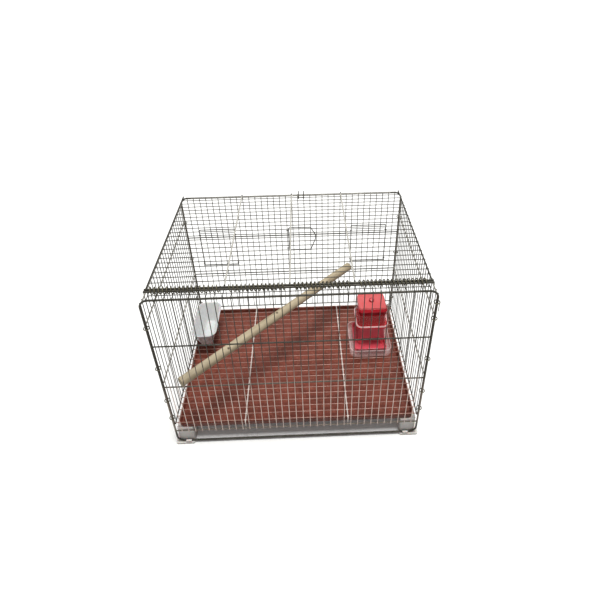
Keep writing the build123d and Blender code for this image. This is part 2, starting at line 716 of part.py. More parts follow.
def feeder_sleeve():
    """The clear band round the upper part of the seed box."""
    tall = HOPPER_TOP_RISE - SLEEVE_RISE - LID_SKIRT - GAP
    grow = 2 * SLEEVE_SPACE
    body = rounded_block(
        HOPPER_WIDTH + grow + 2 * SLEEVE_WALL,
        HOPPER_LENGTH + grow + 2 * SLEEVE_WALL,
        tall,
        SLEEVE_CORNER,
    )
    hollow = rounded_block(
        HOPPER_WIDTH + grow,
        HOPPER_LENGTH + grow,
        tall + 2 * OVERRUN,
        SLEEVE_CORNER - SLEEVE_WALL,
    )
    solid = body - Pos(0, 0, -OVERRUN) * hollow
    return Pos(HOPPER_X, hopper_middle_y(), BASE_Z + SLEEVE_RISE) * solid


def feeder_lid():
    """The red lid with its raised rear part and round knob."""
    width = HOPPER_WIDTH + 2 * (GAP + LID_OVERHANG)
    length = HOPPER_LENGTH + 2 * (GAP + LID_OVERHANG)
    plate = rounded_block(width, length, LID_THICKNESS + LID_SKIRT, LID_CORNER + LID_OVERHANG)
    cavity = rounded_block(
        HOPPER_WIDTH + 2 * GAP, HOPPER_LENGTH + 2 * GAP, LID_SKIRT + OVERRUN, LID_CORNER
    )
    step = rounded_block(width - 2 * LID_OVERHANG, LID_STEP_LENGTH, LID_STEP_HEIGHT, LID_CORNER)
    step_y = length / 2 - LID_OVERHANG - LID_STEP_LENGTH / 2
    knob = Cylinder(
        LID_KNOB_DIAMETER / 2, LID_KNOB_HEIGHT, align=(Align.CENTER, Align.CENTER, Align.MIN)
    )
    top = LID_THICKNESS + LID_SKIRT
    solid = plate + Pos(0, step_y, top) * step + Pos(0, step_y, top + LID_STEP_HEIGHT) * knob
    solid = solid - Pos(0, 0, -OVERRUN) * cavity
    z = BASE_Z + HOPPER_TOP_RISE + REST_GAP - LID_SKIRT
    return Pos(HOPPER_X, hopper_middle_y(), z) * solid


def tub_shape(shrink, low, high):
    """A tapered block between two heights over the tub's base, drawn in by a wall."""
    def section(height):
        share = height / TUB_HEIGHT
        width = TUB_RIM_WIDTH - 2 * TUB_TAPER * (1 - share) - 2 * shrink
        length = TUB_RIM_LENGTH - 2 * TUB_TAPER * (1 - share) - 2 * shrink
        corner = TUB_BASE_CORNER + (TUB_CORNER - TUB_BASE_CORNER) * share - shrink
        return Pos(0, 0, height) * RectangleRounded(width, length, corner)
    return loft([section(low), section(high)])


def white_tub():
    """The white tapered tub against the left panel."""
    outer = tub_shape(0, 0, TUB_HEIGHT)
    lip = rounded_block(
        TUB_RIM_WIDTH + 2 * TUB_LIP, TUB_RIM_LENGTH + 2 * TUB_LIP, TUB_LIP_HEIGHT, TUB_CORNER
    )
    solid = outer + Pos(0, 0, TUB_HEIGHT - TUB_LIP_HEIGHT) * lip
    solid = solid - tub_shape(TUB_WALL, TUB_WALL, TUB_HEIGHT + OVERRUN)
    return Pos(TUB_X, TUB_Y, NET_TOP_Z + GAP) * solid


def save(name, shape):
    """Write one node and print what it holds."""
    if isinstance(shape, list):
        shape = Compound(children=[Compound(item.solids()) for item in shape])
    solids = shape.solids()
    if len(solids) > 1:
        shape = Compound(solids)
    else:
        shape = solids[0]
    shape.label = name
    export_step(shape, os.path.join("parts", name + ".step"))
    box = shape.bounding_box()
    print(name, len(solids), "solids", round(sum(item.volume for item in solids), 1),
          [round(value, 2) for value in (*box.min, *box.max)])


def main():
    """Build every node of the cage."""
    os.makedirs("parts", exist_ok=True)
    save("rear_panel", rear_panel())
    save("front_panel", front_panel())
    save("left_panel", side_panel(-1))
    save("right_panel", side_panel(1))
    save("roof_panel", roof_panel())
    save("roof_hinge_spirals", roof_hinge_spirals())
    save("roof_latch", roof_latch())
    save("left_door", sliding_door(-1))
    save("right_door", sliding_door(1))
    save("centre_door", centre_door())
    save("corner_rings", corner_rings())
    save("side_hook", side_hook())
    save("floor_net", floor_net())
    save("tray", tray())
    for side, side_name in ((-1, "left"), (1, "right")):
        for end, end_name in ((-1, "rear"), (1, "front")):
            save("foot_" + end_name + "_" + side_name, foot(side, end))
    save("perch", perch())
    save("feeder_dish", feeder_dish())
    save("feeder_liner", feeder_liner())
    save("feeder_hopper", feeder_hopper())
    save("feeder_sleeve", feeder_sleeve())
    save("feeder_lid", feeder_lid())
    save("white_tub", white_tub())


main()
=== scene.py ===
"""Looks of a low wire bird cage with a brown tray, a perch, a seed feeder and a white tub."""

import logging
import math
from dataclasses import dataclass, field, replace
from enum import Enum

import bmesh
import bpy
from mathutils import Matrix, Vector


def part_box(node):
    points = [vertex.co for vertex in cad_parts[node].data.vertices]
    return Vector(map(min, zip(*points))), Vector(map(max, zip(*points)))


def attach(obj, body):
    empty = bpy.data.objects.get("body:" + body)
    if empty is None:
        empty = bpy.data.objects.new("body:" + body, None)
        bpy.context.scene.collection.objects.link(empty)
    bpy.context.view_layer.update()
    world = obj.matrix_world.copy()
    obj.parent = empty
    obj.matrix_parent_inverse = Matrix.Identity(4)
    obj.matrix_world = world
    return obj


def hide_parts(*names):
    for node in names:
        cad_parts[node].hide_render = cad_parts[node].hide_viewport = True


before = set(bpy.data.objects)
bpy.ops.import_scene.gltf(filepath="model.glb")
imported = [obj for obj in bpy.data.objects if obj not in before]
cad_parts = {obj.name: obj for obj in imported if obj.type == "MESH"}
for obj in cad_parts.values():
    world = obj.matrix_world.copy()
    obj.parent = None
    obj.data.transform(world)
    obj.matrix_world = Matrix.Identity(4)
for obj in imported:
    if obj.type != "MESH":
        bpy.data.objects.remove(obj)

MM = 0.001
PHOTO_SIZE = 602
PERCH_TURN = math.radians(43.4)
CHANNEL_LEVELS = 255
SHARP_ANGLE = math.radians(50)
LOG = logging.getLogger("bird_cage")

Rgba = tuple[float, float, float, float]
Value = bpy.types.NodeSocket | float
Paint = bpy.types.NodeSocket | Rgba


class Part(Enum):
    """The bodies that the scene's own pieces ride on."""

    TRAY = "tray"
    FEEDER = "feeder"
    LID = "feeder_lid"
    TUB = "tub"


class Slot(Enum):
    """Material slots of the record."""

    ZINC = "zinc_wire"
    DARK_WIRE = "dark_wire"
    BROWN = "brown_plastic"
    MILKY = "milky_plastic"
    WOOD = "pale_wood"
    CLEAR = "clear_plastic"
    RED = "red_plastic"
    WHITE = "white_plastic"


# Shader groups


@dataclass(frozen=True)
class NoiseKind:
    """A noise texture's settings and the span of its values that is stretched to 0 to 1."""

    scale: float
    detail: float
    roughness: float
    low: float = 0.0
    high: float = 1.0


CLOUDS = NoiseKind(20.0, 4.0, 0.6, 0.38, 0.64)
SPECKS = NoiseKind(400.0, 3.0, 0.55, 0.52, 0.72)
STREAKS = NoiseKind(90.0, 5.0, 0.6, 0.35, 0.7)
FIBRES = NoiseKind(1400.0, 3.0, 0.6)
PATCHES = NoiseKind(24.0, 3.0, 0.5, 0.5, 0.75)
SCUFFS = NoiseKind(120.0, 5.0, 0.65, 0.35, 0.65)


class Graph:
    """Short calls for adding and joining shader nodes."""

    def __init__(self, tree: bpy.types.NodeTree) -> None:
        """Starts on an empty tree.

        Args:
            tree: The node tree to fill.
        """
        self.tree = tree
        self.tree.nodes.clear()

    def add(self, kind: str, **values: object) -> bpy.types.Node:
        """Adds a node.

        Args:
            kind: Blender's node type name.
            values: Properties to set on the node.

        Returns:
            The new node.
        """
        node = self.tree.nodes.new(kind)
        for name, value in values.items():
            setattr(node, name, value)
        return node

    def join(self, source: bpy.types.NodeSocket, target: bpy.types.NodeSocket) -> None:
        """Links two sockets."""
        self.tree.links.new(source, target)

    def place(self) -> bpy.types.NodeSocket:
        """Adds the place in the piece's own space."""
        return self.add("ShaderNodeTexCoord").outputs["Object"]

    def noise(self, vector: bpy.types.NodeSocket, kind: NoiseKind,
              scale: bpy.types.NodeSocket | None = None) -> bpy.types.NodeSocket:
        """Adds a noise texture.

        Args:
            vector: Where the noise is read.
            kind: The noise's settings.
            scale: A socket that sets the noise cells per metre, if any.

        Returns:
            The noise's value socket.
        """
        node = self.add("ShaderNodeTexNoise")
        node.inputs["Scale"].default_value = kind.scale
        node.inputs["Detail"].default_value = kind.detail
        node.inputs["Roughness"].default_value = kind.roughness
        self.join(vector, node.inputs["Vector"])
        if scale is not None:
            self.join(scale, node.inputs["Scale"])
        return node.outputs["Fac"]

    def ramp(self, value: bpy.types.NodeSocket, low: float, high: float) -> bpy.types.NodeSocket:
        """Stretches a value so that low gives 0 and high gives 1.

        Args:
            value: The socket to stretch.
            low: What becomes 0.
            high: What becomes 1.

        Returns:
            The stretched value's socket.
        """
        node = self.add("ShaderNodeMapRange", clamp=True)
        node.inputs["From Min"].default_value = low
        node.inputs["From Max"].default_value = high
        self.join(value, node.inputs["Value"])
        return node.outputs["Result"]

    def math(self, operation: str, first: Value, second: Value) -> bpy.types.NodeSocket:
        """Joins two values, each a socket or a number.

        Args:
            operation: Blender's name of the sum.
            first: The first value.
            second: The second value.

        Returns:
            The result's socket.
        """
        node = self.add("ShaderNodeMath", operation=operation)
        for socket, value in zip(node.inputs, (first, second)):
            if isinstance(value, bpy.types.NodeSocket):
                self.join(value, socket)
            else:
                socket.default_value = value
        return node.outputs[0]

    def mix(self, share: bpy.types.NodeSocket, first: Paint, second: Paint) -> bpy.types.NodeSocket:
        """Mixes two colours, each a socket or four numbers.

        Args:
            share: How much of the second colour shows.
            first: The first colour.
            second: The second colour.

        Returns:
            The mixed colour's socket.
        """
        node = self.add("ShaderNodeMix", data_type="RGBA")
        self.join(share, node.inputs["Factor"])
        for name, value in (("A", first), ("B", second)):
            socket = [item for item in node.inputs if item.name == name and item.type == "RGBA"][0]
            if isinstance(value, bpy.types.NodeSocket):
                self.join(value, socket)
            else:
                socket.default_value = value
        return [item for item in node.outputs if item.type == "RGBA"][0]


def group_sockets(tree: bpy.types.NodeTree, inputs: dict[str, float | Rgba], outputs: dict[str, str]) -> None:
    """Names a node group's sockets.

    Args:
        tree: The group.
        inputs: Name and default of each input; four numbers make a colour.
        outputs: Name and socket type of each output.
    """
    for name, value in inputs.items():
        kind = "NodeSocketColor" if isinstance(value, tuple) else "NodeSocketFloat"
        socket = tree.interface.new_socket(name, in_out="INPUT", socket_type=kind)
        socket.default_value = value
    for name, kind in outputs.items():
        tree.interface.new_socket(name, in_out="OUTPUT", socket_type=kind)


@dataclass
class ShaderGroups:
    """The shared surface effects, each built once."""

    mottle: bpy.types.NodeTree = field(init=False)
    grain: bpy.types.NodeTree = field(init=False)
    scuff: bpy.types.NodeTree = field(init=False)
    speck_height: float = 0.5
    fibre_height: float = 0.6
    fibre_stretch: float = 0.06

    def build(self) -> None:
        """Makes every group."""
        self.mottle = self.make_mottle()
        self.grain = self.make_grain()
        self.scuff = self.make_scuff()
        LOG.info("shader groups ready")

    def make_mottle(self) -> bpy.types.NodeTree:
        """Clouds of a second colour and specks of a third, as in recycled plastic or dull zinc.

        Returns:
            The group, with outputs Color and Height.
        """
        tree = bpy.data.node_groups.new("mottle", "ShaderNodeTree")
        inputs = {
            "Base": (0.5, 0.5, 0.5, 1.0),
            "Cloud": (0.4, 0.4, 0.4, 1.0),
            "Speck": (0.6, 0.6, 0.6, 1.0),
            "Cloud Scale": CLOUDS.scale,
            "Speck Scale": SPECKS.scale,
            "Cloud Share": 0.6,
            "Speck Share": 0.4,
        }
        outputs = {"Color": "NodeSocketColor", "Height": "NodeSocketFloat"}
        group_sockets(tree, inputs, outputs)
        graph = Graph(tree)
        source = graph.add("NodeGroupInput")
        sink = graph.add("NodeGroupOutput")
        place = graph.place()
        clouds = graph.noise(place, CLOUDS, source.outputs["Cloud Scale"])
        specks = graph.noise(place, SPECKS, source.outputs["Speck Scale"])
        clouded = graph.ramp(clouds, CLOUDS.low, CLOUDS.high)
        cloud_mask = graph.math("MULTIPLY", clouded, source.outputs["Cloud Share"])
        specked = graph.ramp(specks, SPECKS.low, SPECKS.high)
        speck_mask = graph.math("MULTIPLY", specked, source.outputs["Speck Share"])
        surface = graph.mix(cloud_mask, source.outputs["Base"], source.outputs["Cloud"])
        surface = graph.mix(speck_mask, surface, source.outputs["Speck"])
        graph.join(surface, sink.inputs["Color"])
        fine = graph.math("MULTIPLY", specks, self.speck_height)
        graph.join(graph.math("ADD", clouds, fine), sink.inputs["Height"])
        return tree

    def make_grain(self) -> bpy.types.NodeTree:
        """Long fibres and growth streaks of wood along the perch.

        Returns:
            The group, with outputs Color and Height.
        """
        tree = bpy.data.node_groups.new("grain", "ShaderNodeTree")
        inputs = {
            "Early": (0.7, 0.6, 0.4, 1.0),
            "Late": (0.5, 0.4, 0.25, 1.0),
            "Dirt": (0.3, 0.24, 0.17, 1.0),
            "Dirt Share": 0.4,
        }
        outputs = {"Color": "NodeSocketColor", "Height": "NodeSocketFloat"}
        group_sockets(tree, inputs, outputs)
        graph = Graph(tree)
        source = graph.add("NodeGroupInput")
        sink = graph.add("NodeGroupOutput")
        turn = graph.add("ShaderNodeMapping", vector_type="TEXTURE")
        turn.inputs["Rotation"].default_value = (0.0, 0.0, PERCH_TURN)
        stretch = graph.add("ShaderNodeMapping")
        stretch.inputs["Scale"].default_value = (self.fibre_stretch, 1.0, 1.0)
        place = graph.place()
        graph.join(place, turn.inputs["Vector"])
        graph.join(turn.outputs["Vector"], stretch.inputs["Vector"])
        streaks = graph.noise(stretch.outputs["Vector"], STREAKS)
        fibres = graph.noise(stretch.outputs["Vector"], FIBRES)
        patches = graph.noise(place, PATCHES)
        streaked = graph.ramp(streaks, STREAKS.low, STREAKS.high)
        surface = graph.mix(streaked, source.outputs["Early"], source.outputs["Late"])
        stained = graph.ramp(patches, PATCHES.low, PATCHES.high)
        dirt = graph.math("MULTIPLY", stained, source.outputs["Dirt Share"])
        surface = graph.mix(dirt, surface, source.outputs["Dirt"])
        graph.join(surface, sink.inputs["Color"])
        fine = graph.math("MULTIPLY", fibres, self.fibre_height)
        graph.join(graph.math("ADD", streaks, fine), sink.inputs["Height"])
        return tree

    def make_scuff(self) -> bpy.types.NodeTree:
        """Uneven gloss, as on moulded plastic and drawn wire.

        Returns:
            The group, with output Roughness.
        """
        tree = bpy.data.node_groups.new("scuff", "ShaderNodeTree")
        inputs = {"Smooth": 0.2, "Rough": 0.4}
        outputs = {"Roughness": "NodeSocketFloat"}
        group_sockets(tree, inputs, outputs)
        graph = Graph(tree)
        source = graph.add("NodeGroupInput")
        sink = graph.add("NodeGroupOutput")
        scuffs = graph.noise(graph.place(), SCUFFS)
        span = graph.math("SUBTRACT", source.outputs["Rough"], source.outputs["Smooth"])
        share = graph.math("MULTIPLY", graph.ramp(scuffs, SCUFFS.low, SCUFFS.high), span)
        graph.join(graph.math("ADD", source.outputs["Smooth"], share), sink.inputs["Roughness"])
        return tree


# Finishes


@dataclass(frozen=True)
class ScreenCurve:
    """The standard curve from screen values to linear ones."""

    toe: float = 0.04045
    toe_slope: float = 12.92
    offset: float = 0.055
    power: float = 2.4

    def linear(self, value: float) -> float:
        """One channel of 0 to 255 as a linear number.

        Args:
            value: The channel's screen value.

        Returns:
            The linear value, from 0 to 1.
        """
        share = value / CHANNEL_LEVELS
        if share <= self.toe:
            return share / self.toe_slope
        return ((share + self.offset) / (1 + self.offset)) ** self.power


SCREEN = ScreenCurve()


def colour(red: float, green: float, blue: float) -> Rgba:
    """A full colour from screen values of 0 to 255, as linear numbers."""
    return (SCREEN.linear(red), SCREEN.linear(green), SCREEN.linear(blue), 1.0)


class Axis(Enum):
    """A direction in a piece's own space."""

    X = "X"
    Y = "Y"
    Z = "Z"


@dataclass(frozen=True)
class Slab:
    """A span along one axis, with soft ends."""

    axis: Axis
    low: float
    high: float
    fade: float

    @classmethod
    def about(cls, axis: Axis, middle: float, reach: float, fade: float) -> "Slab":
        """A slab that reaches equally far to both sides of its middle."""
        return cls(axis, middle - reach, middle + reach, fade)

    def mask(self, graph: Graph, place: bpy.types.NodeSocket) -> bpy.types.NodeSocket:
        """How far a place is inside the slab.

        Args:
            graph: The tree being filled.
            place: The place in the piece's own space.

        Returns:
            The mask's socket, 1 inside the slab and 0 beyond its fade.
        """
        split = graph.add("ShaderNodeSeparateXYZ")
        graph.join(place, split.inputs["Vector"])
        level = split.outputs[self.axis.value]
        above = graph.ramp(level, self.low - self.fade, self.low)
        below = graph.ramp(level, self.high + self.fade, self.high)
        return graph.math("MULTIPLY", above, below)


@dataclass(frozen=True)
class Zone:
    """Where slabs cross, and the colour and opacity of the piece there."""

    slabs: tuple[Slab, ...]
    tint: Rgba
    alpha: float = 1.0

    def mask(self, graph: Graph, place: bpy.types.NodeSocket) -> bpy.types.NodeSocket:
        """How much of the zone shows at a place.

        Args:
            graph: The tree being filled.
            place: The place in the piece's own space.

        Returns:
            The product of the slabs' masks.
        """
        mask = self.slabs[0].mask(graph, place)
        for slab in self.slabs[1:]:
            mask = graph.math("MULTIPLY", mask, slab.mask(graph, place))
        return mask


@dataclass(frozen=True)
class Finish:
    """What every finish has: its name, its slot and its three surface colours."""

    name: str
    slot: Slot
    base: Rgba
    cloud: Rgba
    speck: Rgba
    cloud_scale: float = 25.0
    speck_scale: float = 500.0
    cloud_share: float = 0.6
    speck_share: float = 0.4
    smooth: float = 0.25
    rough: float = 0.45
    bump: float = 0.1
    bump_depth: float = 0.3 * MM
    metallic: float = 0.0
    subsurface: float = 0.0
    subsurface_depth: float = 4 * MM
    coat: float = 0.0
    alpha: float = 1.0
    edge_alpha: float = 0.0
    edge_blend: float = 0.3
    shadow_alpha: float = 1.0
    specular: float = 0.5
    zones: tuple[Zone, ...] = ()

    def material(self, groups: ShaderGroups) -> bpy.types.Material:
        """Builds the material.

        Args:
            groups: The shared effects.

        Returns:
            The new material.
        """
        material = bpy.data.materials.new(self.name)
        material.use_nodes = True
        graph = Graph(material.node_tree)
        output = graph.add("ShaderNodeOutputMaterial")
        shader = graph.add("ShaderNodeBsdfPrincipled")
        graph.join(shader.outputs["BSDF"], output.inputs["Surface"])
        mottle = graph.add("ShaderNodeGroup", node_tree=groups.mottle)
        for name, value in (("Base", self.base), ("Cloud", self.cloud), ("Speck", self.speck),
                            ("Cloud Scale", self.cloud_scale), ("Speck Scale", self.speck_scale),
                            ("Cloud Share", self.cloud_share), ("Speck Share", self.speck_share)):
            mottle.inputs[name].default_value = value
        scuff = graph.add("ShaderNodeGroup", node_tree=groups.scuff)
        scuff.inputs["Smooth"].default_value = self.smooth
        scuff.inputs["Rough"].default_value = self.rough
        self.colour_and_alpha(graph, mottle.outputs["Color"], shader)
        graph.join(scuff.outputs["Roughness"], shader.inputs["Roughness"])
        bump = graph.add("ShaderNodeBump")
        bump.inputs["Strength"].default_value = self.bump
        bump.inputs["Distance"].default_value = self.bump_depth
        graph.join(mottle.outputs["Height"], bump.inputs["Height"])
        graph.join(bump.outputs["Normal"], shader.inputs["Normal"])
        shader.inputs["Metallic"].default_value = self.metallic
        shader.inputs["Subsurface Weight"].default_value = self.subsurface
        shader.inputs["Subsurface Scale"].default_value = self.subsurface_depth
        shader.inputs["Coat Weight"].default_value = self.coat
        shader.inputs["Specular IOR Level"].default_value = self.specular
        return material

    def colour_and_alpha(self, graph: Graph, surface: bpy.types.NodeSocket,
                         shader: bpy.types.Node) -> None:
        """Feeds the shader's colour and opacity, with the zones laid over both.

        Args:
            graph: The tree being filled.
            surface: The colour before the zones.
            shader: The Principled shader.
        """
        alpha: Value = self.alpha
        if self.edge_alpha > self.alpha:
            slant = graph.add("ShaderNodeLayerWeight")
            slant.inputs["Blend"].default_value = self.edge_blend
            rise = graph.math("MULTIPLY", slant.outputs["Facing"], self.edge_alpha - self.alpha)
            alpha = graph.math("ADD", rise, self.alpha)
        if self.zones:
            place = graph.place()
            for zone in self.zones:
                mask = zone.mask(graph, place)
                surface = graph.mix(mask, surface, zone.tint)
                outside = graph.math("MULTIPLY", graph.math("SUBTRACT", 1.0, mask), alpha)
                alpha = graph.math("ADD", outside, graph.math("MULTIPLY", mask, zone.alpha))
        if self.shadow_alpha < 1.0:
            rays = graph.add("ShaderNodeLightPath").outputs["Is Shadow Ray"]
            drop = graph.math("MULTIPLY", rays, 1.0 - self.shadow_alpha)
            alpha = graph.math("MULTIPLY", graph.math("SUBTRACT", 1.0, drop), alpha)
        graph.join(surface, shader.inputs["Base Color"])
        if isinstance(alpha, bpy.types.NodeSocket):
            graph.join(alpha, shader.inputs["Alpha"])
        else:
            shader.inputs["Alpha"].default_value = alpha


@dataclass(frozen=True)
class WoodFinish:
    """Bare pale softwood with streaks, dirt and a few knots."""

    name: str = "pale_dowel_wood"
    slot: Slot = Slot.WOOD
    early: Rgba = colour(203, 188, 158)
    late: Rgba = colour(168, 151, 122)
    dirt: Rgba = colour(132, 116, 88)
    knot: Rgba = colour(74, 58, 40)
    knot_places: tuple[tuple[float, float, float], ...] = (
        (-0.1213, -0.0859, 0.1814), (-0.035, 0.0005, 0.1827), (0.052, 0.0795, 0.1812),
    )
    knot_radius: float = 3.2 * MM
    knot_core: float = 3.2 / 3 * MM
    rough: float = 0.72
    bump: float = 0.35
    bump_depth: float = 0.4 * MM

    def material(self, groups: ShaderGroups) -> bpy.types.Material:
        """Builds the material.

        Args:
            groups: The shared effects.

        Returns:
            The new material.
        """
        material = bpy.data.materials.new(self.name)
        material.use_nodes = True
        graph = Graph(material.node_tree)
        output = graph.add("ShaderNodeOutputMaterial")
        shader = graph.add("ShaderNodeBsdfPrincipled")
        graph.join(shader.outputs["BSDF"], output.inputs["Surface"])
        grain = graph.add("ShaderNodeGroup", node_tree=groups.grain)
        grain.inputs["Early"].default_value = self.early
        grain.inputs["Late"].default_value = self.late
        grain.inputs["Dirt"].default_value = self.dirt
        surface = grain.outputs["Color"]
        place = graph.place()
        for centre in self.knot_places:
            away = graph.add("ShaderNodeVectorMath", operation="DISTANCE")
            away.inputs[1].default_value = centre
            graph.join(place, away.inputs[0])
            mask = graph.ramp(away.outputs["Value"], self.knot_radius, self.knot_core)
            surface = graph.mix(mask, surface, self.knot)
        graph.join(surface, shader.inputs["Base Color"])
        bump = graph.add("ShaderNodeBump")
        bump.inputs["Strength"].default_value = self.bump
        bump.inputs["Distance"].default_value = self.bump_depth
        graph.join(grain.outputs["Height"], bump.inputs["Height"])
        graph.join(bump.outputs["Normal"], shader.inputs["Normal"])
        shader.inputs["Roughness"].default_value = self.rough
        return material


# Places of wires, in the cage's frame, where a finish's zones lie.
FRAME_X = 229 * MM
FRAME_REACH = 3 * MM
ROOF_WIRE_TOP = 367.9 * MM
ROOF_WIRE_END_X = 205 * MM
ROOF_WIRE_ENDS_Y = (-126 * MM, 147 * MM)
NEAR_BAR_Y = -154.3 * MM
FAR_EDGE_Y = 145 * MM
SIDE_WIRE_LEVELS = (170.85 * MM, 314.85 * MM, 355.85 * MM)
SIDE_WIRE_REACH = 1.3 * MM
NET_SPINE_X = 96.5 * MM
NET_SPINE_REACH = 2 * MM
SHARP = 0.1 * MM
CRISP = 0.2 * MM

# Top of the seed box's painted light, a paler pink where the box is seen behind dish and sleeve, in the
# cage's frame.
BOX_COVERED_TOP = 112 * MM

# Places on the feeder's mouldings: heights over each one's underside, and Y from its middle.
DISH_RIM = 16.4 * MM
SLEEVE_RIM_TOP = 2.8 * MM
LINER_NEAR_WALL = -38.9 * MM
KNOB_LOW = 11.9 * MM
KNOB_HOLLOW = (14.4 * MM, 14.8 * MM)

ZINC = Finish(
    "zinc_wire", Slot.ZINC, colour(60, 58, 51), colour(44, 42, 36), colour(98, 93, 84), cloud_scale=60.0,
    speck_scale=900.0, smooth=0.32, rough=0.5, bump=0.15, metallic=0.6, specular=0.35,
)
# Painted reflection: the near panel's wires are lighter and warmer low down, standing for the bright floor
# mirrored in them.
LOW_WIRES_PAINTED_REFLECTION = Zone(
    (Slab(Axis.Z, 45 * MM, 400 * MM, 15 * MM), Slab(Axis.Z, -10 * MM, 110 * MM, 70 * MM)),
    colour(112, 101, 91),
)
# Painted reflection: the near panel's outer bars are pale pinkish low down, over the brown tray, standing for
# light mirrored in them.
LOW_BARS_PAINTED_REFLECTION = Zone(
    (Slab(Axis.Z, -10 * MM, 120 * MM, 100 * MM), Slab(Axis.Y, -160 * MM, NEAR_BAR_Y, 0.05 * MM)),
    colour(204, 186, 176),
)
NEAR_ZINC = replace(ZINC, name="near_zinc_wire", zones=(LOW_WIRES_PAINTED_REFLECTION, LOW_BARS_PAINTED_REFLECTION))
# Painted highlight: the roof's thick wires are pale on their tops, under the overhead lamp.
ROOF_WIRE_TOPS_PAINTED_HIGHLIGHT = Zone((
    Slab(Axis.Z, ROOF_WIRE_TOP, 375 * MM, SHARP),
    Slab(Axis.Y, *ROOF_WIRE_ENDS_Y, 0.5 * MM),
    Slab(Axis.X, -ROOF_WIRE_END_X, ROOF_WIRE_END_X, 0.5 * MM),
), colour(196, 193, 184))
ROOF_ZINC = replace(ZINC, name="roof_zinc_wire", zones=(ROOF_WIRE_TOPS_PAINTED_HIGHLIGHT,))
# Painted light: the far corner uprights are a lighter grey, as upright wires get little of the overhead lamp.
FAR_PAINTED_LIGHT = colour(98, 95, 86)
FAR_UPRIGHTS_PAINTED_LIGHT = Zone((Slab(Axis.Y, FAR_EDGE_Y, 156 * MM, CRISP),), FAR_PAINTED_LIGHT)
SIDE_ZINC = replace(ZINC, name="side_zinc_wire", zones=(FAR_UPRIGHTS_PAINTED_LIGHT,) + tuple(
    # Painted highlight: the side panels' cross wires are paler, lit from above.
    Zone((Slab.about(Axis.Z, level, SIDE_WIRE_REACH, SHARP),), colour(158, 155, 147))
    for level in SIDE_WIRE_LEVELS
))
# The far panel's corner uprights get the same painted light.
FRONT_ZINC = replace(ZINC, name="front_zinc_wire", zones=tuple(
    Zone((
        Slab.about(Axis.X, side * FRAME_X, FRAME_REACH, CRISP),
        Slab(Axis.Z, 50 * MM, 345 * MM, 10 * MM),
    ), FAR_PAINTED_LIGHT)
    for side in (-1, 1)
))
# Painted reflection: the floor net's zinc wire is given the pinkish brown of the tray below it.
NET_ZINC_PAINTED_REFLECTION = Finish(
    "net_zinc_wire", Slot.ZINC, colour(162, 122, 109), colour(138, 98, 85), colour(186, 150, 137),
    cloud_scale=60.0, speck_scale=900.0, smooth=0.25, rough=0.42, bump=0.12, metallic=0.3,
    zones=tuple(
        # Painted highlight: the net's two thick spines are near white.
        Zone((Slab.about(Axis.X, side * NET_SPINE_X, NET_SPINE_REACH, 0.3 * MM),), colour(232, 220, 212))
        for side in (-1, 1)
    ),
)
DARK_WIRE = Finish(
    "dark_wire", Slot.DARK_WIRE, colour(92, 88, 70), colour(58, 54, 42), colour(124, 119, 98),
    cloud_scale=40.0, speck_scale=900.0, smooth=0.35, rough=0.55, bump=0.15, metallic=0.65,
)
BROWN = Finish(
    "brown_tray_plastic", Slot.BROWN, colour(129, 65, 50), colour(95, 46, 34), colour(158, 97, 79),
    cloud_scale=26.0, speck_scale=240.0, cloud_share=0.85, speck_share=0.55, smooth=0.3, rough=0.52,
    bump=0.25, specular=0.3,
)
MILKY = Finish(
    "milky_foot_plastic", Slot.MILKY, colour(234, 227, 221), colour(216, 210, 204), colour(242, 237, 232),
    smooth=0.25, rough=0.4, bump=0.06, subsurface=0.2, alpha=0.92,
)
CLEAR = Finish(
    "clear_feeder_plastic", Slot.CLEAR, colour(248, 222, 220), colour(242, 212, 210),
    colour(252, 232, 230), smooth=0.04, rough=0.1, bump=0.01, alpha=0.08, edge_alpha=0.5,
    shadow_alpha=0.3, specular=0.3,
)
CLEAR_DISH = replace(CLEAR, name="clear_dish_plastic", alpha=0.16, zones=(
    Zone((Slab(Axis.Z, DISH_RIM, 20 * MM, CRISP),), colour(252, 226, 224), 0.4),
))
CLEAR_SLEEVE = replace(CLEAR, name="clear_sleeve_plastic", alpha=0.02, edge_alpha=0.16, zones=(
    Zone((Slab(Axis.Z, -1 * MM, SLEEVE_RIM_TOP, 0.4 * MM),), colour(255, 230, 230), 0.85),
))
RED = Finish(
    "red_liner_plastic", Slot.RED, colour(228, 92, 106), colour(212, 70, 84), colour(238, 114, 126),
    smooth=0.08, rough=0.18, bump=0.02, coat=0.3, alpha=0.86, shadow_alpha=0.3,
    # Painted shade: the liner's near wall is dark red.
    zones=(Zone((Slab(Axis.Y, -41 * MM, LINER_NEAR_WALL, CRISP),), colour(128, 2, 14), 0.92),),
)
DEEP_RED = Finish(
    "deep_red_box_plastic", Slot.RED, colour(220, 16, 36), colour(186, 8, 24), colour(236, 40, 58),
    smooth=0.06, rough=0.16, bump=0.02, coat=0.1, alpha=0.94, shadow_alpha=0.35, specular=0.2,
    # Painted light: the seed box is a paler pink low down, behind dish and sleeve.
    zones=(Zone((Slab(Axis.Z, 50 * MM, BOX_COVERED_TOP, 3 * MM),), colour(250, 116, 130), 0.6),),
)
LID_RED = Finish(
    "red_lid_plastic", Slot.RED, colour(228, 98, 99), colour(218, 80, 82), colour(234, 114, 113),
    smooth=0.1, rough=0.22, bump=0.02, subsurface=0.15, coat=0.2, alpha=0.93,
    zones=(
        # Painted shade: the knob's side is dark red; its dished centre is left near the lid's red.
        Zone((Slab(Axis.Z, KNOB_LOW, 18 * MM, SHARP),), colour(160, 22, 38), 0.95),
        Zone((Slab(Axis.Z, *KNOB_HOLLOW, SHARP),), colour(232, 92, 94), 0.95),
    ),
)
